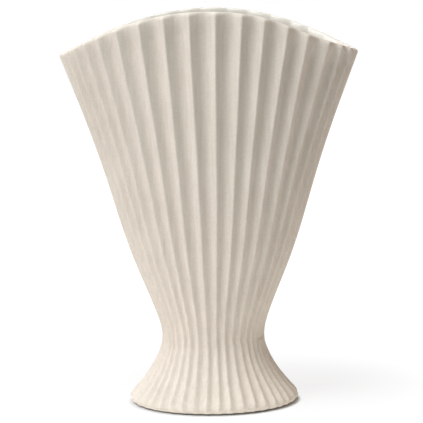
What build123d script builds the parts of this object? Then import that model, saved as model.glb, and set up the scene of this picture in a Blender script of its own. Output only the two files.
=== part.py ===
"""Fluted fan vase: a flattened bowl with an arched rim, luted to a flared oval foot and glazed inside.

Millimetres, +Z up, +X along the width, the front towards -Y. The origin is on the table, below the middle.
"""
from build123d import *
from math import cos, hypot, pi, radians, sin
import os
from functools import cache
from scipy.interpolate import CubicSpline

# Whole vase
height = 300.0
flute_count = 38

# Outline of the clay along the flute ridges, from the sole up: height, half the width, half the depth
sole_height = 1.0
sole_half_width = 62.6
sole_half_depth = 50.6
foot_edge_height = 3.5
foot_edge_half_width = 64.5
foot_edge_half_depth = 52.3
foot_skirt_height = 10.0
foot_skirt_half_width = 61.6
foot_skirt_half_depth = 50.1
foot_flare_height = 20.0
foot_flare_half_width = 53.1
foot_flare_half_depth = 44.4
foot_neck_height = 35.0
foot_neck_half_width = 43.8
foot_neck_half_depth = 38.6
waist_height = 50.0
waist_half_width = 39.3
waist_half_depth = 36.0
bowl_root_height = 70.0
bowl_root_half_width = 43.3
bowl_root_half_depth = 38.4
bowl_hip_height = 110.0
bowl_hip_half_width = 59.2
bowl_hip_half_depth = 44.0
bowl_middle_height = 180.0
bowl_middle_half_width = 81.4
bowl_middle_half_depth = 49.5
rim_corner_height = 267.0
rim_corner_half_width = 112.6
rim_corner_half_depth = 52.8

# Flutes: hollow depth as a share of the local pitch, and how much of it is left at the sole, lip and inside
flute_depth_share = 0.21
sole_flute_share = 0.35
lip_flute_share = 0.3
inner_flute_share = 0.6

# Wall and lip
wall = 6.0
waist_wall = 7.0
sole_wall = 9.0
lip_outer_round = 3.8
lip_height = 3.4

# Spigot of the bowl in the socket of the foot, bedded in slip
spigot_height = 5.0
spigot_wall = 2.8
slip_thickness = 0.8
slip_recess = 0.5
slip_gap = 0.05

# Slab that closes the foot, bedded in slip against a ledge
slab_thickness = 6.0
slab_ledge = 2.6

# Glaze on the inside
glaze_thickness = 0.5
glaze_gap = 0.1
glaze_edge_angle = 45.0

# Soft pads under the slab
pad_diameter = 12.0
pad_inset = 4.0
pad_angle = 45.0

# Levels at which the outline is followed, as shares of the way from joint to rim, or from sole to joint
bowl_level_shares = (0, 0.05, 0.12, 0.2, 0.29, 0.39, 0.5, 0.61, 0.72, 0.82, 0.91, 0.97, 1)
foot_level_shares = (0, 0.02, 0.05, 0.1, 0.17, 0.25, 0.35, 0.47, 0.6, 0.73, 0.87, 1)
bore_fade_share = 0.3
sole_fade_share = 0.17
lip_angles = (0, 22.5, 45, 67.5, 90)
rim_rounds = 12

heights = (
    sole_height,
    foot_edge_height,
    foot_skirt_height,
    foot_flare_height,
    foot_neck_height,
    waist_height,
    bowl_root_height,
    bowl_hip_height,
    bowl_middle_height,
    rim_corner_height,
)
half_widths = (
    sole_half_width,
    foot_edge_half_width,
    foot_skirt_half_width,
    foot_flare_half_width,
    foot_neck_half_width,
    waist_half_width,
    bowl_root_half_width,
    bowl_hip_half_width,
    bowl_middle_half_width,
    rim_corner_half_width,
)
half_depths = (
    sole_half_depth,
    foot_edge_half_depth,
    foot_skirt_half_depth,
    foot_flare_half_depth,
    foot_neck_half_depth,
    waist_half_depth,
    bowl_root_half_depth,
    bowl_hip_half_depth,
    bowl_middle_half_depth,
    rim_corner_half_depth,
)
half_width_at = CubicSpline(heights, half_widths, bc_type="natural")
half_depth_at = CubicSpline(heights, half_depths, bc_type="natural")

# Levels of the two luted joints
bowl_shoulder = waist_height + slip_thickness / 2
foot_shoulder = waist_height - slip_thickness / 2
spigot_end = bowl_shoulder - spigot_height
socket_floor = spigot_end - slip_thickness
slab_top = sole_height + slab_thickness
ledge_height = slab_top + slip_thickness
lip_inner_round = wall - lip_outer_round


@cache
def rim_height(angle):
    """Height of the arched rim above a flute, where the flaring wall meets the arch."""
    z = height
    for _ in range(rim_rounds):
        reach = half_width_at(z) * sin(angle) / rim_corner_half_width
        z = height - (height - rim_corner_height) * reach**2
    return float(z)


def wall_point(angle, z, inward, flute_share):
    """A point moved inward from the ridge outline, and further by a share of the flute's depth in a hollow.

    The angle goes round the oval from a hollow at the middle of the front.
    """
    wide, deep = float(half_width_at(z)), float(half_depth_at(z))
    pitch = 2 * pi / flute_count * hypot(wide * cos(angle), deep * sin(angle))
    hollow = cos(angle * flute_count / 2) ** 2
    shift = inward + flute_share * flute_depth_share * pitch * hollow
    out = Vector(sin(angle) / wide, -cos(angle) / deep).normalized()
    return Vector(wide * sin(angle), -deep * cos(angle), z) - out * shift


def ring(place):
    """A closed wire of one arc for each flute, from ridge to ridge. place gives the point at an angle."""
    half_pitch = pi / flute_count
    angles = [(k - 1) * half_pitch for k in range(2 * flute_count)]
    points = [place(angle, rim_height(angle)) for angle in angles]
    points.append(points[0])
    arcs = [
        Edge.make_three_point_arc(points[k], points[k + 1], points[k + 2])
        for k in range(0, 2 * flute_count, 2)
    ]
    return Wire(arcs)


def flat_ring(z, inward, flute_share=0, at_height=None):
    """A level ring at height z, with the outline of at_height where that is given."""
    outline = z if at_height is None else at_height
    drop = Vector(0, 0, z - outline)
    return ring(lambda angle, top: wall_point(angle, outline, inward, flute_share) + drop)


def bowl_ring(level_share, inward, flute_share):
    """A ring part of the way from the joint to the foot of the lip, which rises with the arch."""
    rise = lip_height + bowl_shoulder
    return ring(
        lambda angle, top: wall_point(
            angle, bowl_shoulder + level_share * (top - rise), inward, flute_share
        )
    )


def lip_ring(lip_angle, round_off, depth, flute_share, off=0):
    """A ring on the lip: round_off is its rounding, depth the wall's face it springs from, off the coating."""
    up, across = sin(radians(lip_angle)), cos(radians(lip_angle))
    inward = depth - round_off * (1 - across) + off * across
    lift = off * up - lip_height * (1 - up)
    return ring(lambda angle, top: wall_point(angle, top + lift, inward, flute_share))


def outer_bowl_rings():
    """Rings up the outside of the bowl and over the lip to its crest."""
    rings = [bowl_ring(level, 0, 1) for level in bowl_level_shares]
    for lip_angle in lip_angles[1:]:
        flutes = 1 - (1 - lip_flute_share) * sin(radians(lip_angle))
        rings.append(lip_ring(lip_angle, -lip_outer_round, 0, flutes))
    return rings


def inner_bowl_rings(coat=0, last_lip_angle=90.0):
    """Rings up the inside of the bowl and onto the lip, moved in by the coating."""
    rings = []
    for level in bowl_level_shares:
        fade = min(1, level / bore_fade_share)
        thick = waist_wall + (wall - waist_wall) * fade
        rings.append(bowl_ring(level, thick + coat, inner_flute_share * fade))
    for lip_angle in lip_angles[1:]:
        if lip_angle <= last_lip_angle:
            flutes = inner_flute_share + (lip_flute_share - inner_flute_share) * sin(radians(lip_angle))
            rings.append(lip_ring(lip_angle, lip_inner_round, wall, flutes, coat))
    return rings


def outer_foot_rings():
    """Rings up the outside of the foot, from its sole to the joint. The flutes fade in from the sole."""
    rings = []
    for level in foot_level_shares:
        fade = sole_flute_share + (1 - sole_flute_share) * min(1, level / sole_fade_share)
        rings.append(flat_ring(sole_height + level * (foot_shoulder - sole_height), 0, fade))
    return rings


def inner_foot_rings(low, coat=0):
    """Rings up the hollow of the foot, from the height low to the floor of the socket."""
    rings = []
    for level in foot_level_shares:
        z = low + level * (socket_floor - low)
        outline = ledge_height + level * (waist_height - ledge_height)
        thick = sole_wall + (waist_wall - sole_wall) * level
        rings.append(flat_ring(z, thick + coat, 0, outline))
    return rings


def closed(*pieces):
    """One solid from shells and faces that meet along whole edges."""
    faces = [face for piece in pieces for face in piece.faces()]
    return Solid(Shell(faces))


def side(*rings):
    return Shell.make_loft(rings, ruled=True)


def level_face(outer, *inner):
    return Face(outer, list(inner))


def make_fan_bowl():
    outside = outer_bowl_rings()
    inside = inner_bowl_rings()
    bore_end = flat_ring(spigot_end, waist_wall, 0, bowl_shoulder)
    spigot_root = flat_ring(bowl_shoulder, waist_wall - spigot_wall)
    spigot_tip = flat_ring(spigot_end, waist_wall - spigot_wall, 0, bowl_shoulder)
    return closed(
        side(*outside, *reversed(inside[:-1]), bore_end),
        level_face(spigot_tip, bore_end),
        side(spigot_tip, spigot_root),
        level_face(outside[0], spigot_root),
    )


def make_pedestal_foot():
    outside = outer_foot_rings()
    hollow = inner_foot_rings(ledge_height)
    socket_side = waist_wall - spigot_wall - slip_thickness
    socket_top = flat_ring(foot_shoulder, socket_side, 0, bowl_shoulder)
    socket_base = flat_ring(socket_floor, socket_side, 0, bowl_shoulder)
    rebate_top = flat_ring(ledge_height, sole_wall - slab_ledge)
    rebate_sole = flat_ring(sole_height, sole_wall - slab_ledge, 0, ledge_height)
    return closed(
        side(*outside),
        level_face(outside[-1], socket_top),
        side(socket_top, socket_base),
        level_face(socket_base, hollow[-1]),
        side(*hollow),
        level_face(rebate_top, hollow[0]),
        side(rebate_top, rebate_sole),
        level_face(outside[0], rebate_sole),
    )


def make_waist_slip_joint():
    """Slip between shoulders, round the spigot and under it, clear of both castings by slip_gap."""
    top, low = bowl_shoulder - slip_gap, foot_shoulder + slip_gap
    tip, floor = spigot_end - slip_gap, socket_floor + slip_gap
    outer_side = waist_wall - spigot_wall - slip_thickness + slip_gap
    inner_side = waist_wall - spigot_wall - slip_gap
    rim_top = flat_ring(top, slip_recess, 1, bowl_shoulder)
    rim_low = flat_ring(low, slip_recess, 1, bowl_shoulder)
    socket_top = flat_ring(low, outer_side, 0, bowl_shoulder)
    socket_base = flat_ring(floor, outer_side, 0, bowl_shoulder)
    bore_base = flat_ring(floor, waist_wall, 0, bowl_shoulder)
    bore_top = flat_ring(tip, waist_wall, 0, bowl_shoulder)
    spigot_tip = flat_ring(tip, inner_side, 0, bowl_shoulder)
    spigot_root = flat_ring(top, inner_side, 0, bowl_shoulder)
    return closed(
        side(rim_top, rim_low),
        level_face(rim_low, socket_top),
        side(socket_top, socket_base),
        level_face(socket_base, bore_base),
        side(bore_base, bore_top),
        level_face(spigot_tip, bore_top),
        side(spigot_tip, spigot_root),
        level_face(rim_top, spigot_root),
    )


def slab_ring(z, inset):
    return flat_ring(z, sole_wall - slab_ledge + inset, 0, ledge_height)


def make_base_slab():
    low = slab_ring(sole_height, slip_thickness)
    top = slab_ring(slab_top, slip_thickness)
    return closed(level_face(low), side(low, top), level_face(top))


def make_base_slip_joint():
    """Slip round the slab's edge and under the ledge, clear of slab and foot by slip_gap."""
    top, low = ledge_height - slip_gap, slab_top + slip_gap
    outer_low = slab_ring(sole_height, slip_gap)
    outer_top = slab_ring(top, slip_gap)
    ledge_top = slab_ring(top, slab_ledge)
    ledge_low = slab_ring(low, slab_ledge)
    edge_top = slab_ring(low, slip_thickness - slip_gap)
    edge_low = slab_ring(sole_height, slip_thickness - slip_gap)
    return closed(
        side(outer_low, outer_top),
        level_face(outer_top, ledge_top),
        side(ledge_top, ledge_low),
        level_face(edge_top, ledge_low),
        side(edge_top, edge_low),
        level_face(outer_low, edge_low),
    )


def lining_rings(coat):
    """Rings up the whole inside, from the slab to the edge of the glaze on the lip."""
    return inner_foot_rings(slab_top + coat, coat) + inner_bowl_rings(coat, glaze_edge_angle)


def make_inner_glaze():
    against_clay = lining_rings(glaze_gap)
    face = lining_rings(glaze_gap + glaze_thickness)
    return closed(
        level_face(against_clay[0]),
        side(*against_clay, *reversed(face)),
        level_face(face[0]),
    )


def make_foot_pads():
    """Four round pads under the slab, set in from its edge along the diagonals."""
    inset = sole_wall - slab_ledge + slip_thickness + pad_inset + pad_diameter / 2
    reach_x = (float(half_width_at(ledge_height)) - inset) * sin(radians(pad_angle))
    reach_y = (float(half_depth_at(ledge_height)) - inset) * cos(radians(pad_angle))
    pads = [
        Solid.make_cylinder(pad_diameter / 2, sole_height, Plane((x, y, 0)))
        for x in (-reach_x, reach_x)
        for y in (-reach_y, reach_y)
    ]
    return Compound(pads)


parts = {
    "fan_bowl": make_fan_bowl,
    "pedestal_foot": make_pedestal_foot,
    "waist_slip_joint": make_waist_slip_joint,
    "base_slab": make_base_slab,
    "base_slip_joint": make_base_slip_joint,
    "inner_glaze": make_inner_glaze,
    "foot_pads": make_foot_pads,
}
os.makedirs("parts", exist_ok=True)
for name, make in parts.items():
    export_step(make(), f"parts/{name}.step")
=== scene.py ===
"""Looks of a fluted fan vase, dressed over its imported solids.

Metres, +Z up, +X along the width, the front towards -Y. The origin is on the table, below the middle.
"""
import math
import bpy
import numpy as np
from mathutils import Matrix, Vector


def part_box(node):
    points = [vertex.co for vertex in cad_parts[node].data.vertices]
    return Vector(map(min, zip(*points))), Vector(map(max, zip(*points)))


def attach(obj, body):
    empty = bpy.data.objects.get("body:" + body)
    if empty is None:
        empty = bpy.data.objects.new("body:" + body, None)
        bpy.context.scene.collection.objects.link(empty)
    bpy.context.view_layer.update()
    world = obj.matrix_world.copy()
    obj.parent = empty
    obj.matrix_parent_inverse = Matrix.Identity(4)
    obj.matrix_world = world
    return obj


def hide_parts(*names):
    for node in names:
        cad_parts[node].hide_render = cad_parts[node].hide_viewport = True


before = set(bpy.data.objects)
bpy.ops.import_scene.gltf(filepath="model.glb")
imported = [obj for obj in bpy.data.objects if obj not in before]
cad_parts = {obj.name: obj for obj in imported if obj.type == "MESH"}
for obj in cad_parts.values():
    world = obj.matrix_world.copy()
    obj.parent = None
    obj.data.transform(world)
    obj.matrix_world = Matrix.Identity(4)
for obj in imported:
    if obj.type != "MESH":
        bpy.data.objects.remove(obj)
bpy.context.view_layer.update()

# Outline of the clay along the ridges, from the sole up: height, half the width, half the depth
outline_stations = (
    (0.0010, 0.0626, 0.0506),
    (0.0035, 0.0645, 0.0523),
    (0.0100, 0.0616, 0.0501),
    (0.0200, 0.0531, 0.0444),
    (0.0350, 0.0438, 0.0386),
    (0.0500, 0.0393, 0.0360),
    (0.0700, 0.0433, 0.0384),
    (0.1100, 0.0592, 0.0440),
    (0.1800, 0.0814, 0.0495),
    (0.2670, 0.1126, 0.0528),
)
sole = outline_stations[0][0]
waist = outline_stations[5][0]
rim_corner, rim_corner_reach, _ = outline_stations[-1]
rim_top = 0.300
rim_end_lift, rim_end_power = 0.0023, 8
front_dip, front_dip_turn, front_dip_spread = 0.0030, math.radians(43), math.radians(17)

# Flutes
flute_count = 38
flute_steps, glaze_steps, plain_steps = 18, 10, 6
flute_depth_share = 0.24
rim_flute_depth_share = 0.275
flute_turn_share = -0.15
ridge_round = 0.0010
groove_round_share = 0.7
rim_crowd_share = -0.033
foot_crowd_share = -0.115
sole_flute_share = 0.3
lip_flute_share = 0.15
inner_flute_share = 0.6
groove_depth_spread = 0.07
left_grooves, left_depth_share = slice(-10, -3), 0.9
side_depth_power = 0.5

# Wall, lip, joints and lining
wall = 0.0060
waist_wall = 0.0070
sole_wall = 0.0090
lip_height = 0.0032
lip_outer_round = 0.0038
mouth_height = 0.0060
run_out = 0.0140
run_out_share = 0.68
spigot_height = 0.0050
spigot_wall = 0.0028
slip_thickness = 0.0008
slip_gap = 0.00005
smear_height = 0.0050
smear_proud = 0.00016
slab_thickness = 0.0060
slab_ledge = 0.0026
glaze_gap = 0.0001
glaze_thickness = 0.0005
glaze_edge_angle = 60
edge_ease = 0.0004
waist_ease = 0.0001

bowl_shoulder = waist + slip_thickness / 2
foot_shoulder = waist - slip_thickness / 2
spigot_end = bowl_shoulder - spigot_height
socket_floor = spigot_end - slip_thickness
slab_top = sole + slab_thickness
ledge = slab_top + slip_thickness

# Felt pads: radius, how uneven their edge is, and their section as shares of radius and height
pad_radius = 0.0060
pad_columns = 48
pad_fuzz_share = 0.006
pad_section_shares = ((0.55, 0), (0.93, 0), (0.985, 0.12), (1, 0.4), (1, 0.75), (0.97, 1), (0.5, 1))

# Rings of the meshes, and levels as shares of the height of the wall that they are on
wall_rings, run_out_rings, lip_rings = 62, 17, 11
run_out_level = 0.94
inner_rings = 42
inner_full_level, inner_fade_level = 0.3, 0.6
sole_rings, foot_rings, inner_foot_rings = 14, 44, 24
sole_level, sole_fade_level = 0.12, 0.2
slab_inset_shares = (0.63, 0.36, 0.135)
rim_rounds = 12
sharp_corner = math.radians(38)

# Lamps stand this far from a point above the foot
lamp_reach = 2.0
lamp_aim_height = 0.13

# Camera, as found from the vase's outline in the photograph
picture_side = 423
focal_pixels = 1829
camera_reach = 1.380
camera_height = 0.343
camera_yaw = math.radians(1.8)
camera_pitch = math.radians(8.09)
camera_roll = math.radians(1.0)
camera_side_pixels = 0.35

rng = np.random.default_rng(38)

# How far each ridge wanders, in degrees, counted round from the front,
# above the waist, half way and under the rim, and in the same way up the foot
bowl_heights = (0.07, 0.16, 0.25)
bowl_wander = {
    -10: (0.8, 0.7, 1.0), -9: (1.6, 1.5, 2.0), -8: (2.5, 2.5, 3.5), -7: (2.5, 2.3, 1.7), -6: (2.0, 1.4, 0.5),
    -5: (1.0, 0.0, -0.9), -4: (1.3, -0.1, -0.9), -3: (-0.2, -0.5, -0.6), -2: (0.2, -0.5, -0.2),
    -1: (0.8, 0.5, 0.0), 0: (1.4, 1.0, 0.3), 1: (1.0, 1.25, 0.6), 2: (0.5, 0.45, -0.1), 3: (0.25, 0.6, 0.2),
    4: (-0.4, 1.2, 0.3), 5: (-1.8, 1.3, 2.6), 6: (-2.8, 0.0, 2.9), 7: (-1.2, 1.5, 1.8), 8: (-0.8, 1.8, 3.6),
    9: (-0.5, 1.2, 2.4), 10: (-0.2, 0.6, 1.2),
}
foot_heights = (0.010, 0.023, 0.036)
foot_wander = {
    -10: (1.2, 1.2, 1.0), -9: (2.6, 2.6, 2.0), -8: (4.4, 4.4, 3.2), -7: (4.4, 4.4, 3.6), -6: (3.0, 3.0, 3.0),
    -5: (0.9, 1.1, 1.0), -4: (0.4, 1.2, 0.9), -3: (0.0, 0.4, 0.0), -2: (0.2, 0.2, 0.3), -1: (1.1, 1.5, 1.7),
    0: (1.8, 2.1, 2.0), 1: (1.5, 1.1, 1.5), 2: (2.3, 1.8, 1.8), 3: (2.7, 2.2, 1.7), 4: (2.1, 1.6, 1.0),
    5: (1.6, 0.7, -0.4), 6: (-0.7, -1.2, -2.4), 7: (-3.0, -3.4, -3.8), 8: (-3.0, -3.2, -3.4),
    9: (-2.0, -2.0, -2.0), 10: (-1.0, -1.0, -1.0),
}
back_wander = 0.35


def natural_curve(heights, reaches):
    """A natural cubic curve through the stations, as a function of height."""
    heights, reaches = np.array(heights), np.array(reaches)
    gaps = np.diff(heights)
    slopes = np.diff(reaches) / gaps
    rows = np.eye(len(heights))
    bends = np.zeros(len(heights))
    for i in range(1, len(heights) - 1):
        rows[i, i - 1 : i + 2] = gaps[i - 1], 2 * (gaps[i - 1] + gaps[i]), gaps[i]
        bends[i] = 6 * (slopes[i] - slopes[i - 1])
    bends = np.linalg.solve(rows, bends)

    def reach_at(z):
        i = np.clip(np.searchsorted(heights, z) - 1, 0, len(gaps) - 1)
        low, gap = z - heights[i], gaps[i]
        first = slopes[i] - gap * (2 * bends[i] + bends[i + 1]) / 6
        third = (bends[i + 1] - bends[i]) / (6 * gap)
        return reaches[i] + low * (first + low * (bends[i] / 2 + low * third))

    return reach_at


station_heights, half_widths, half_depths = zip(*outline_stations)
half_width_at = natural_curve(station_heights, half_widths)
half_depth_at = natural_curve(station_heights, half_depths)


def smooth_step(x):
    x = np.clip(x, 0, 1)
    return x * x * (3 - 2 * x)


def cut_by_hand(wander):
    """How far each ridge of a casting drifts at three heights, in degrees, and how deep each groove went."""
    drift = rng.normal(0, back_wander, (3, flute_count))
    for ridge, degrees in wander.items():
        drift[:, ridge % flute_count] = degrees
    depth = 1 + groove_depth_spread * rng.normal(0, 1, flute_count)
    depth[left_grooves] *= left_depth_share
    return drift, depth


bowl_cut = cut_by_hand(bowl_wander)
foot_cut = cut_by_hand(foot_wander)


class Flutes:
    """Columns of points round one casting. Each ridge wanders a little, as cut by hand."""

    def __init__(self, steps, heights=bowl_heights, cut=bowl_cut):
        spread = np.linspace(-1, 1, steps, endpoint=False)
        within = 0.5 + 0.5 * (0.5 * spread + 0.5 * spread**3)
        self.place = (np.arange(flute_count)[:, None] + within).ravel()
        self.angle = (self.place + flute_turn_share) * math.tau / flute_count
        self.heights = heights
        drift, depth = cut
        self.drift = np.radians([self.around(level, 0.5) for level in drift])
        self.depth = self.around(depth, 0)
        self.from_ridge = np.abs((self.place % 1) - 0.5)

    def around(self, values, offset):
        """Values given at each ridge or groove, spread smoothly round the casting."""
        marks = np.arange(-1, flute_count + 1) + offset
        return np.interp(self.place, marks, np.concatenate([values[-1:], values, values[:1]]))

    def turn(self, z):
        """Angle of each column on the oval at height z: the flutes crowd to the front away from the waist."""
        above = np.clip((z - waist) / (rim_corner - waist), 0, None)
        below = np.clip((waist - z) / (waist - sole), 0, None)
        crowd = rim_crowd_share * above**2 + foot_crowd_share * below**2
        low, _, high = self.heights
        rise = np.clip((z - low) / (high - low), 0, 1)
        weights = (1 - rise) * (1 - 2 * rise), 4 * rise * (1 - rise), rise * (2 * rise - 1)
        wander = sum(weight * level for weight, level in zip(weights, self.drift))
        return self.angle + wander + crowd * np.sin(2 * self.angle)

    def rim(self):
        """Height of the arched rim over each column, which dips a little in front on the right."""
        z = np.full(len(self.angle), rim_top)
        for _ in range(rim_rounds):
            turn = self.turn(z)
            reach = half_width_at(z) * np.sin(turn) / rim_corner_reach
            z = rim_top - (rim_top - rim_corner) * reach**2 + rim_end_lift * reach**rim_end_power
            z -= front_dip * np.exp(-(((turn - front_dip_turn) / front_dip_spread) ** 2))
        return z

    def ring(self, z, inward, flute_share=0.0, outline=None):
        """A ring at height z, moved inward from the ridges, with the outline of another height if given.

        Its fourth column tells how far each point lies down a groove.
        """
        z = np.broadcast_to(z, self.angle.shape).astype(float)
        level = z if outline is None else np.broadcast_to(outline, z.shape).astype(float)
        turn = self.turn(level)
        wide, deep = half_width_at(level), half_depth_at(level)
        front_pitch = math.tau / flute_count * wide
        pitch = math.tau / flute_count * np.hypot(wide * np.cos(turn), deep * np.sin(turn))
        round_share = ridge_round / (pitch / 2)
        away = 2 * self.from_ridge
        eased = np.sqrt(away**2 + round_share**2) - round_share
        eased /= np.sqrt(1 + round_share**2) - round_share
        deepest = math.sqrt(1 + groove_round_share**2)
        hollow = deepest - np.sqrt((1 - eased) ** 2 + groove_round_share**2)
        hollow *= self.depth / (deepest - groove_round_share)
        rise = smooth_step((level - waist) / (rim_corner - waist))
        depth_share = flute_depth_share + (rim_flute_depth_share - flute_depth_share) * rise
        depth_share *= (front_pitch / pitch) ** side_depth_power
        shift = inward + flute_share * depth_share * pitch * hollow
        out = np.stack([np.sin(turn) / wide, -np.cos(turn) / deep], -1)
        out /= np.linalg.norm(out, axis=-1, keepdims=True)
        flat = np.stack([wide * np.sin(turn), -deep * np.cos(turn)], -1) - out * shift[:, None]
        return np.column_stack([flat, z, flute_share * hollow])


def new_piece(name, points, faces, finish):
    """A smooth mesh object whose sharp corners stay sharp, with how far down a groove each point is."""
    mesh = bpy.data.meshes.new(name)
    mesh.from_pydata(points[:, :3].tolist(), [], faces)
    if points.shape[1] > 3:
        groove = mesh.attributes.new("groove", "FLOAT", "POINT")
        groove.data.foreach_set("value", points[:, 3].astype(np.float32))
    mesh.validate()
    mesh.polygons.foreach_set("use_smooth", [True] * len(mesh.polygons))
    mesh.set_sharp_from_angle(angle=sharp_corner)
    mesh.materials.append(finish)
    piece = bpy.data.objects.new(name, mesh)
    bpy.context.scene.collection.objects.link(piece)
    return piece


def hoop(name, rings, finish):
    """A closed mesh of rings that go once round a section and meet again."""
    count, columns = len(rings), len(rings[0])
    faces = []
    for r in range(count):
        low, high = r * columns, (r + 1) % count * columns
        for c in range(columns):
            d = (c + 1) % columns
            faces.append((low + c, low + d, high + d, high + c))
    return new_piece(name, np.concatenate(rings), faces, finish)


def capped(name, rings, finish):
    """A closed mesh of rings with a fan of faces over the first and the last."""
    count, columns = len(rings), len(rings[0])
    points = np.concatenate(rings + [rings[0].mean(0)[None], rings[-1].mean(0)[None]])
    first, last = count * columns, count * columns + 1
    faces = []
    for r in range(count - 1):
        low, high = r * columns, (r + 1) * columns
        for c in range(columns):
            d = (c + 1) % columns
            faces.append((low + c, low + d, high + d, high + c))
    top = (count - 1) * columns
    for c in range(columns):
        d = (c + 1) % columns
        faces.append((first, d, c))
        faces.append((last, top + c, top + d))
    return new_piece(name, points, faces, finish)


def settle(piece, node):
    """The piece stands for its solid, which is hidden, and stays with the vase."""
    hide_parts(node)
    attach(piece, "root")


def outer_bowl(flutes):
    """Rings up the outside of the bowl and onto the lip, under which the grooves run out."""
    rim = flutes.rim()
    tall = rim - lip_height - bowl_shoulder
    rings = []
    plain_levels = np.linspace(0, run_out_level, wall_rings)
    top_levels = np.linspace(run_out_level, 1, run_out_rings)
    for level in np.concatenate([plain_levels, top_levels[1:]]):
        share = run_out_share + (1 - run_out_share) * smooth_step((1 - level) * tall / run_out)
        rings.append(flutes.ring(bowl_shoulder + level * tall, 0, share))
    for lip_angle in np.radians(np.linspace(0, 90, lip_rings)[1:]):
        z = rim - lip_height * (1 - math.sin(lip_angle))
        over = 1 - math.cos(lip_angle)
        share = run_out_share + (lip_flute_share - run_out_share) * over
        rings.append(flutes.ring(z, lip_outer_round * over, share))
    return rings


def inner_bowl(flutes, coat=0.0, last_lip_angle=90):
    """Rings up the inside of the bowl and onto the lip, moved in by a coating."""
    rim = flutes.rim()
    rings = []
    for level in np.linspace(0, 1, inner_rings):
        fade = min(1, level / inner_full_level)
        z = bowl_shoulder + level * (rim - mouth_height - bowl_shoulder)
        thick = waist_wall + (wall - waist_wall) * fade
        near_lip = smooth_step((level - inner_fade_level) / (1 - inner_fade_level))
        hollowed = inner_flute_share + (lip_flute_share - inner_flute_share) * near_lip
        rings.append(flutes.ring(z, thick + coat, hollowed * fade))
    for lip_angle in np.radians(np.linspace(0, last_lip_angle, lip_rings)[1:]):
        across, up = math.cos(lip_angle), math.sin(lip_angle)
        inward = wall - (wall - lip_outer_round) * (1 - across) + coat * across
        rings.append(flutes.ring(rim + coat * up - mouth_height * (1 - up), inward, lip_flute_share))
    return rings


def inner_foot(flutes, low, coat=0.0):
    """Rings up the inside of the foot, a plain oval, moved in by a coating."""
    rings = []
    for level in np.linspace(0, 1, inner_foot_rings):
        z = low + level * (socket_floor - low)
        thick = sole_wall + (waist_wall - sole_wall) * level
        rings.append(flutes.ring(z, thick + coat, 0, ledge + level * (waist - ledge)))
    return rings


def make_fan_bowl(flutes, finish):
    spigot_side = waist_wall - spigot_wall
    rings = outer_bowl(flutes)
    rings += list(reversed(inner_bowl(flutes)[:-1]))
    rings.append(flutes.ring(spigot_end, waist_wall, 0, bowl_shoulder))
    rings.append(flutes.ring(spigot_end, spigot_side, 0, bowl_shoulder))
    rings.append(flutes.ring(bowl_shoulder, spigot_side))
    rings.append(flutes.ring(bowl_shoulder, waist_ease, 1))
    rings[0] = flutes.ring(bowl_shoulder + waist_ease, 0, 1)
    return hoop("fan_bowl_fluted", rings, finish)


def make_pedestal_foot(flutes, finish):
    socket_side = waist_wall - spigot_wall - slip_thickness
    rebate = sole_wall - slab_ledge
    rings = []
    low_levels = np.linspace(0, sole_level, sole_rings)
    high_levels = np.linspace(sole_level, 1, foot_rings)
    for level in np.concatenate([low_levels, high_levels[1:]]):
        fade = sole_flute_share + (1 - sole_flute_share) * smooth_step(level / sole_fade_level)
        height = sole + edge_ease + level * (foot_shoulder - waist_ease - sole - edge_ease)
        rings.append(flutes.ring(height, 0, fade))
    rings.append(flutes.ring(foot_shoulder, waist_ease, 1))
    rings.append(flutes.ring(foot_shoulder, socket_side, 0, bowl_shoulder))
    rings.append(flutes.ring(socket_floor, socket_side, 0, bowl_shoulder))
    rings += list(reversed(inner_foot(flutes, ledge)))
    rings.append(flutes.ring(ledge, rebate))
    rings.append(flutes.ring(sole, rebate, 0, ledge))
    rings.append(flutes.ring(sole, edge_ease * 2, sole_flute_share))
    return hoop("pedestal_foot_fluted", rings, finish)


def make_waist_slip_joint(bowl_flutes, foot_flutes, finish):
    """Slip between spigot and socket, sponged out thin over the seam, where both castings' flutes meet."""
    top, low = bowl_shoulder - slip_gap, foot_shoulder + slip_gap
    tip, floor = spigot_end - slip_gap, socket_floor + slip_gap
    outer_side = waist_wall - spigot_wall - slip_thickness + slip_gap
    inner_side = waist_wall - spigot_wall - slip_gap
    at = bowl_shoulder
    rings = []
    for across in np.linspace(-1, 1, 13):
        z = waist + across * smear_height / 2
        proud = smear_proud * (1 - across**2) - smear_proud / 4
        share = smooth_step((across + 1) / 2)
        foot_side, bowl_side = foot_flutes.ring(z, -proud, 1), bowl_flutes.ring(z, -proud, 1)
        rings.append(foot_side + (bowl_side - foot_side) * share)
    rings += [
        bowl_flutes.ring(top, inner_side, 0, at),
        bowl_flutes.ring(tip, inner_side, 0, at),
        bowl_flutes.ring(tip, waist_wall, 0, at),
        bowl_flutes.ring(floor, waist_wall, 0, at),
        bowl_flutes.ring(floor, outer_side, 0, at),
        bowl_flutes.ring(low, outer_side, 0, at),
    ]
    return hoop("waist_slip_seam", rings, finish)


def make_base_slab(finish):
    flutes = Flutes(plain_steps)
    inset = sole_wall - slab_ledge + slip_thickness
    rings = []
    for share in slab_inset_shares:
        rings.append(flutes.ring(sole, inset + share * half_depths[0], 0, ledge))
    rings.append(flutes.ring(sole, inset + edge_ease, 0, ledge))
    rings.append(flutes.ring(sole + edge_ease, inset, 0, ledge))
    rings.append(flutes.ring(slab_top - edge_ease, inset, 0, ledge))
    rings.append(flutes.ring(slab_top, inset + edge_ease, 0, ledge))
    return capped("base_slab_disc", rings, finish)


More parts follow.
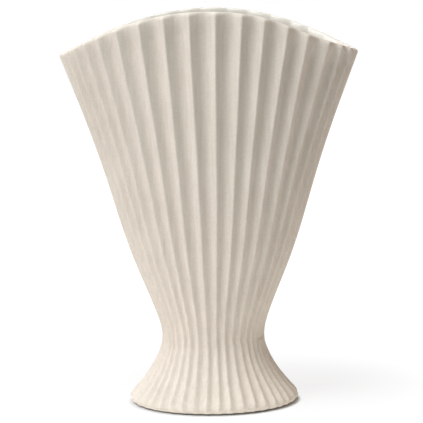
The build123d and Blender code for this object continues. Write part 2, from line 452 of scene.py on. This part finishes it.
def make_base_slip_joint(finish):
    flutes = Flutes(plain_steps)
    outer = sole_wall - slab_ledge
    top, low = ledge - slip_gap, slab_top + slip_gap
    rings = [
        flutes.ring(sole, outer + slip_gap, 0, ledge),
        flutes.ring(top, outer + slip_gap, 0, ledge),
        flutes.ring(top, sole_wall, 0, ledge),
        flutes.ring(low, sole_wall, 0, ledge),
        flutes.ring(low, outer + slip_thickness - slip_gap, 0, ledge),
        flutes.ring(sole, outer + slip_thickness - slip_gap, 0, ledge),
    ]
    return hoop("base_slip_seam", rings[::-1], finish)


def make_inner_glaze(finish):
    """Glaze over the whole inside, from the slab to the inner edge of the lip."""
    flutes = Flutes(glaze_steps)
    faces = []
    for coat in (glaze_gap, glaze_gap + glaze_thickness):
        rings = inner_foot(flutes, slab_top + coat, coat)
        faces.append(rings + inner_bowl(flutes, coat, glaze_edge_angle))
    against_clay, face = faces
    return capped("inner_glaze_lining", against_clay + face[::-1], finish)


def make_foot_pads(finish):
    """Four pressed felt pads with softened edges, where their solids stand."""
    low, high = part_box("foot_pads")
    turns = np.linspace(0, math.tau, pad_columns, endpoint=False)
    pads = []
    for x in (low.x + pad_radius, high.x - pad_radius):
        for y in (low.y + pad_radius, high.y - pad_radius):
            rings = []
            for reach, rise in pad_section_shares:
                fuzz = 1 + pad_fuzz_share * rng.normal(0, 1, pad_columns) * (reach > 0.9)
                flat = pad_radius * reach * np.minimum(fuzz, 1)
                across, along = x + flat * np.cos(turns), y + flat * np.sin(turns)
                rings.append(np.column_stack([across, along, np.full(pad_columns, rise * sole)]))
            pads.append(capped(f"felt_pad_{len(pads) + 1}", rings, finish))
    return pads


class Shade:
    """One output of a finish's nodes. Sums of shades and numbers add Math nodes."""

    def __init__(self, finish, socket):
        self.finish, self.socket = finish, socket

    def sum(self, operation, first, second):
        return self.finish.node("Math", {"operation": operation}, {0: first, 1: second})

    def __add__(self, other):
        return self.sum("ADD", self, other)

    def __radd__(self, other):
        return self.sum("ADD", other, self)

    def __sub__(self, other):
        return self.sum("SUBTRACT", self, other)

    def __rsub__(self, other):
        return self.sum("SUBTRACT", other, self)

    def __mul__(self, other):
        return self.sum("MULTIPLY", self, other)

    def __rmul__(self, other):
        return self.sum("MULTIPLY", other, self)


class Finish:
    """A material, or the room's light, built node by node."""

    def __init__(self, block):
        block.use_nodes = True
        self.block, self.tree = block, block.node_tree
        self.tree.nodes.clear()

    def node(self, kind, settings=None, sockets=None, output=0):
        """A node with its settings, then its sockets' values or links. Gives one output."""
        node = self.tree.nodes.new("ShaderNode" + kind)
        for key, value in (settings or {}).items():
            setattr(node, key, value)
        for key, value in (sockets or {}).items():
            if isinstance(value, Shade):
                self.tree.links.new(value.socket, node.inputs[key])
            else:
                node.inputs[key].default_value = value
        return Shade(self, node.outputs[output]) if node.outputs else None

    def noise(self, where, scale, detail=3.0, roughness=0.55):
        sockets = {"Vector": where, "Scale": scale, "Detail": detail, "Roughness": roughness}
        return self.node("TexNoise", {}, sockets)

    def mix(self, share, first, second):
        """A colour between two, by a share."""
        return self.node("Mix", {"data_type": "RGBA"}, {0: share, 6: first, 7: second}, 2)

    def band(self, value, low, high):
        """0 below low, 1 above high, smooth between."""
        sockets = {"Value": value, "From Min": low, "From Max": high}
        return self.node("MapRange", {"interpolation_type": "SMOOTHSTEP"}, sockets)

    def finish(self, sockets):
        """Ends in one main shader with these sockets."""
        shader = self.node("BsdfPrincipled", {}, sockets)
        self.node("OutputMaterial", {}, {"Surface": shader})
        return self.block


def bare_clay(name, light, dark, groove_shade, speck):
    """Matt fired clay: fine grain, cloudy tone, scraping marks, painted shade that darkens and warms the
    grooves, and a few dark specks.
    """
    clay = Finish(bpy.data.materials.new(name))
    where = clay.node("TexCoord", output="Object")
    drawn = clay.node("Mapping", {}, {"Vector": where, "Scale": (1.0, 1.0, 0.06)})
    clouds = clay.noise(where, 30.0, 3.0)
    streaks = clay.noise(drawn, 420.0, 3.0)
    grain = clay.noise(where, 700.0, 3.0, 0.7)
    pores = clay.noise(where, 760.0, 2.0, 0.5)
    specks = clay.band(pores, 0.70, 0.78)
    tone = clouds * 0.2 + streaks * 0.4 + grain * 0.4
    body = clay.mix(clay.band(tone, 0.36, 0.64), dark, light)
    groove = clay.node("Attribute", {"attribute_name": "groove"}, output="Fac")
    # Painted shade: the colour darkens and warms towards the bottom of each groove, where shade falls.
    body = clay.mix(groove * 0.15, body, groove_shade)
    colour = clay.mix(specks * 0.35, body, speck)
    height = grain * 0.5 + streaks * 0.35 + clouds * 0.6 - specks * 0.5
    bump = clay.node("Bump", {}, {"Strength": 0.35, "Distance": 0.00035, "Height": height})
    rough = 0.78 + 0.14 * grain
    return clay.finish({"Base Color": colour, "Roughness": rough, "Normal": bump, "Specular IOR Level": 0.3})


def white_glaze():
    """Glossy white glaze, a little uneven where it ran."""
    glaze = Finish(bpy.data.materials.new("white_glaze_gloss"))
    where = glaze.node("TexCoord", output="Object")
    drawn = glaze.node("Mapping", {}, {"Vector": where, "Scale": (1.0, 1.0, 0.3)})
    runs = glaze.noise(drawn, 55.0, 3.0)
    pits = glaze.noise(where, 900.0, 2.0)
    thin, thick = (0.68, 0.65, 0.595, 1), (0.75, 0.725, 0.665, 1)
    colour = glaze.mix(glaze.band(runs, 0.35, 0.65), thin, thick)
    bump = glaze.node("Bump", {}, {"Strength": 0.25, "Distance": 0.0006, "Height": runs + 0.1 * pits})
    rough = 0.3 + 0.15 * runs
    return glaze.finish(
        {"Base Color": colour, "Roughness": rough, "Normal": bump, "Coat Weight": 0.15, "Coat Roughness": 0.2}
    )


def pressed_felt():
    """Grey-brown felt with fine fibres and soft tufts."""
    felt = Finish(bpy.data.materials.new("pad_felt_pressed"))
    where = felt.node("TexCoord", output="Object")
    fibres = felt.noise(where, 2600.0, 4.0, 0.7)
    tufts = felt.noise(where, 420.0, 3.0)
    colour = felt.mix(fibres, (0.20, 0.185, 0.165, 1), (0.42, 0.395, 0.36, 1))
    bump = felt.node("Bump", {}, {"Strength": 0.6, "Distance": 0.0004, "Height": fibres + 0.6 * tufts})
    return felt.finish({"Base Color": colour, "Roughness": 0.95, "Normal": bump, "Sheen Weight": 0.3})


def build_vase():
    # The first colour is painted shade for the bottoms of the grooves; the second is the dark specks in the
    # clay.
    groove_shade, speck = (0.60, 0.52, 0.43, 1), (0.34, 0.29, 0.23, 1)
    clay = bare_clay("bare_clay_matt", (0.765, 0.71, 0.638, 1), (0.665, 0.61, 0.54, 1), groove_shade, speck)
    slip = bare_clay("slip_clay_sponged", (0.755, 0.70, 0.628, 1), (0.655, 0.60, 0.53, 1), groove_shade, speck)
    bowl_flutes, foot_flutes = Flutes(flute_steps), Flutes(flute_steps, foot_heights, foot_cut)
    settle(make_fan_bowl(bowl_flutes, clay), "fan_bowl")
    settle(make_pedestal_foot(foot_flutes, clay), "pedestal_foot")
    settle(make_waist_slip_joint(bowl_flutes, foot_flutes, slip), "waist_slip_joint")
    settle(make_base_slab(clay), "base_slab")
    settle(make_base_slip_joint(slip), "base_slip_joint")
    settle(make_inner_glaze(white_glaze()), "inner_glaze")
    for pad in make_foot_pads(pressed_felt()):
        settle(pad, "foot_pads")


def floor_finish():
    """White table: lit near the vase, so that it keeps the shadow, and plain white further out.

    Rays other than the camera's find a soft warm glow beside the foot.
    """
    table = Finish(bpy.data.materials.new("white_table"))
    seen = table.node("LightPath", output="Is Camera Ray")
    place = table.node("TexCoord", output="Object")
    reach = table.node("VectorMath", {"operation": "LENGTH"}, {0: place}, "Value")
    foot_shares = (1 / half_widths[1], 1 / half_depths[1], 0)
    oval = table.node("VectorMath", {"operation": "MULTIPLY"}, {0: place, 1: foot_shares})
    past_foot = table.node("VectorMath", {"operation": "LENGTH"}, {0: oval}, "Value")
    front_right = (0.05, -0.05, 0)
    beside = table.node("VectorMath", {"operation": "DISTANCE"}, {0: place, 1: front_right}, "Value")
    lit = table.node("BsdfDiffuse", {}, {"Color": (0.60, 0.61, 0.62, 1)})
    lighting = table.band(past_foot, 0.97, 1.02) - table.band(beside, 0.12, 0.34)
    glow = table.mix(lighting, (0, 0, 0, 1), (1.0, 0.95, 0.85, 1))
    bounce = table.node(
        "BsdfPrincipled",
        {},
        {
            "Base Color": (0.9, 0.9, 0.9, 1),
            "Roughness": 1.0,
            "Specular IOR Level": 0.0,
            "Emission Color": glow,
            "Emission Strength": 0.42,
        },
    )
    white = table.node("Emission", {}, {"Color": (1, 1, 1, 1), "Strength": 1.12})
    far = 0.04 + table.band(past_foot, 0.995, 1.05) * 0.7 + table.band(reach, 0.09, 0.32) * 0.26
    shown = table.node("MixShader", {}, {0: far, 1: lit, 2: white})
    surface = table.node("MixShader", {}, {0: seen, 1: bounce, 2: shown})
    table.node("OutputMaterial", {}, {"Surface": surface})
    return table.block


def lay_table():
    side = 3.0
    mesh = bpy.data.meshes.new("table_top")
    corners = [(-side, -side, 0), (side, -side, 0), (side, side, 0), (-side, side, 0)]
    mesh.from_pydata(corners, [], [(0, 1, 2, 3)])
    mesh.materials.append(floor_finish())
    table = bpy.data.objects.new("table_top", mesh)
    bpy.context.scene.collection.objects.link(table)


def light_room():
    """Faint warm room light, seen as plain white behind the vase."""
    room = Finish(bpy.data.worlds.new("white_room"))
    seen = room.node("LightPath", output="Is Camera Ray")
    seen_through = room.node("LightPath", output="Is Transmission Ray")
    shown = room.node("Math", {"operation": "MAXIMUM"}, {0: seen, 1: seen_through})
    fill = room.node("Background", {}, {"Color": (1.0, 0.93, 0.85, 1), "Strength": 0.03})
    white = room.node("Background", {}, {"Color": (1, 1, 1, 1), "Strength": 1.0})
    mixed = room.node("MixShader", {}, {0: shown, 1: fill, 2: white})
    room.node("OutputWorld", {}, {"Surface": mixed})
    bpy.context.scene.world = room.block


def hang_lamp(name, turn, rise, size, power, colour):
    """A soft lamp turned round from the front and raised by degrees, aimed at the vase."""
    aim = Vector((0, 0, lamp_aim_height))
    turn, rise = math.radians(turn), math.radians(rise)
    away = Vector((math.sin(turn) * math.cos(rise), -math.cos(turn) * math.cos(rise), math.sin(rise)))
    lamp = bpy.data.lights.new(name, "AREA")
    lamp.shape = "RECTANGLE"
    lamp.size, lamp.size_y = size
    lamp.energy = power
    lamp.color = colour
    holder = bpy.data.objects.new(name, lamp)
    holder.location = aim + lamp_reach * away
    holder.rotation_euler = (-away).to_track_quat("-Z", "Y").to_euler()
    bpy.context.scene.collection.objects.link(holder)


def set_camera():
    """The photograph's view: a long lens just above the rim, a little to the right, rolled slightly."""
    lens = bpy.data.cameras.new("photo_view")
    lens.sensor_width = 36.0
    lens.lens = lens.sensor_width * focal_pixels / picture_side
    lens.clip_start, lens.clip_end = 0.05, 50
    forward = Vector((
        -math.sin(camera_yaw) * math.cos(camera_pitch),
        math.cos(camera_yaw) * math.cos(camera_pitch),
        -math.sin(camera_pitch),
    ))
    level = Vector((math.cos(camera_yaw), math.sin(camera_yaw), 0))
    above = level.cross(forward)
    right = math.cos(camera_roll) * level - math.sin(camera_roll) * above
    up = math.cos(camera_roll) * above + math.sin(camera_roll) * level
    place = Vector((camera_reach * math.sin(camera_yaw), -camera_reach * math.cos(camera_yaw), camera_height))
    place += level * camera_side_pixels * camera_reach / focal_pixels
    holder = bpy.data.objects.new("photo_view", lens)
    turned = Matrix((right, up, -forward)).transposed().to_4x4()
    holder.matrix_world = Matrix.Translation(place) @ turned
    bpy.context.scene.collection.objects.link(holder)
    bpy.context.scene.camera = holder


build_vase()
lay_table()
light_room()
hang_lamp("window_left", -59, 50, (1.6, 0.7), 29.5, (0.995, 0.945, 0.98))
hang_lamp("overhead_left", -30, 72, (0.7, 0.7), 21.5, (0.90, 1.0, 0.955))
hang_lamp("overhead_right", 92, 62, (0.7, 0.7), 3.5, (1.0, 0.93, 0.86))
hang_lamp("wall_right", 100, 30, (0.7, 0.7), 4.0, (1.0, 0.5, 0.25))
hang_lamp("window_behind", -138, 32, (1.0, 0.8), 9.0, (1.0, 0.97, 0.93))
set_camera()
bpy.context.scene.view_settings.view_transform = "Standard"
